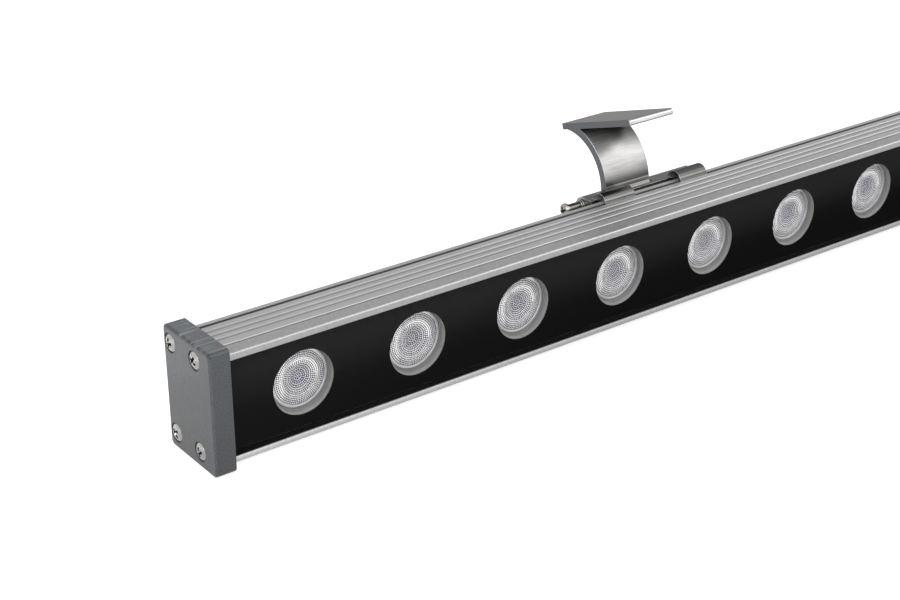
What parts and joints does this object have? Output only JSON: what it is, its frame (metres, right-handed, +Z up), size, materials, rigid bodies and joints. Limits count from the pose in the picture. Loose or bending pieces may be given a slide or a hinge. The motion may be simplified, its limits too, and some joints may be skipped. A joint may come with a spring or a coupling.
{
  "type": "outdoor wall washer light",
  "caption": "Linear wall washer light: ribbed aluminium bar with round beaded lenses behind a black masked glass, screwed end caps and sliding, tilting foot brackets.",
  "frame": {"origin": "middle of the left end cap's underside, on which the bar stands", "axes": "+X along the bar to the right end cap, +Y from the glass to the back, +Z up"},
  "size_m": [1.0187, 0.0699, 0.0866],
  "materials": {
    "housing": "silver anodised extrusion with fine grain",
    "end_cap": "grey powder coat",
    "glass": "clear polished",
    "mask": "glossy black enamel",
    "seal": "matt silicone",
    "screw": "bright nickel",
    "gland": "satin nickel on brass",
    "board": "white solder mask on aluminium",
    "led": "phosphor under a clear dome",
    "chip": "moulded",
    "link": "moulded",
    "terminal": "moulded",
    "carrier": "grey moulded",
    "lens": "beaded optic",
    "arm": "brushed",
    "clip": "dark, brushed",
    "sleeve": "plain turned",
    "grub": "blackened"
  },
  "bodies": {
    "bar": {"housing": "housing", "front_glass": "glass", "front_mask": "mask", "glass_seal": "seal", "end_cap_left": "end_cap", "end_cap_right": "end_cap", "end_gasket_left": "seal", "end_gasket_right": "seal", "cap_screws_left": "screw", "cap_screws_right": "screw", "gland_body": "gland", "gland_nut": "gland", "gland_seal": "seal", "board_screws": "screw", "board_links": "link", "regulator_chips": "chip", "terminal_block": "terminal", "terminal_screws": "screw", "led_board_1": "board", "led_board_2": "board", "led_board_3": "board", "led_group_1": "led", "led_group_2": "led", "led_group_3": "led", "lens_carrier_1": "carrier", "lens_carrier_2": "carrier", "lens_carrier_3": "carrier", "lens_1": "lens", "lens_2": "lens", "lens_3": "lens", "lens_4": "lens", "lens_5": "lens", "lens_6": "lens", "lens_7": "lens", "lens_8": "lens", "lens_9": "lens", "lens_10": "lens", "lens_11": "lens", "lens_12": "lens", "lens_13": "lens", "lens_14": "lens", "lens_15": "lens", "lens_16": "lens", "lens_17": "lens", "lens_18": "lens"},
    "clip_left": {"bracket_clip_left": "clip", "pivot_screw_left": "screw", "pivot_sleeve_left": "sleeve", "pivot_washers_left": "screw", "grub_screws_left": "grub"},
    "arm_left": {"bracket_arm_left": "arm"},
    "clip_right": {"bracket_clip_right": "clip", "pivot_screw_right": "screw", "pivot_sleeve_right": "sleeve", "pivot_washers_right": "screw", "grub_screws_right": "grub"},
    "arm_right": {"bracket_arm_right": "arm"}
  },
  "joints": [
    {"name": "clip_slide_left", "type": "slide", "parent": "bar", "child": "clip_left", "axis": [1, 0, 0], "range_m": [-0.185, 0.185]},
    {"name": "arm_tilt_left", "type": "hinge", "parent": "clip_left", "child": "arm_left", "pos_m": [0.23401, 0.02205, 0.0455], "axis": [1, 0, 0], "range_deg": [-130, 25]},
    {"name": "clip_slide_right", "type": "slide", "parent": "bar", "child": "clip_right", "axis": [1, 0, 0], "range_m": [-0.185, 0.185]},
    {"name": "arm_tilt_right", "type": "hinge", "parent": "clip_right", "child": "arm_right", "pos_m": [0.75999, 0.02205, 0.0455], "axis": [1, 0, 0], "range_deg": [-130, 25]}
  ]
}
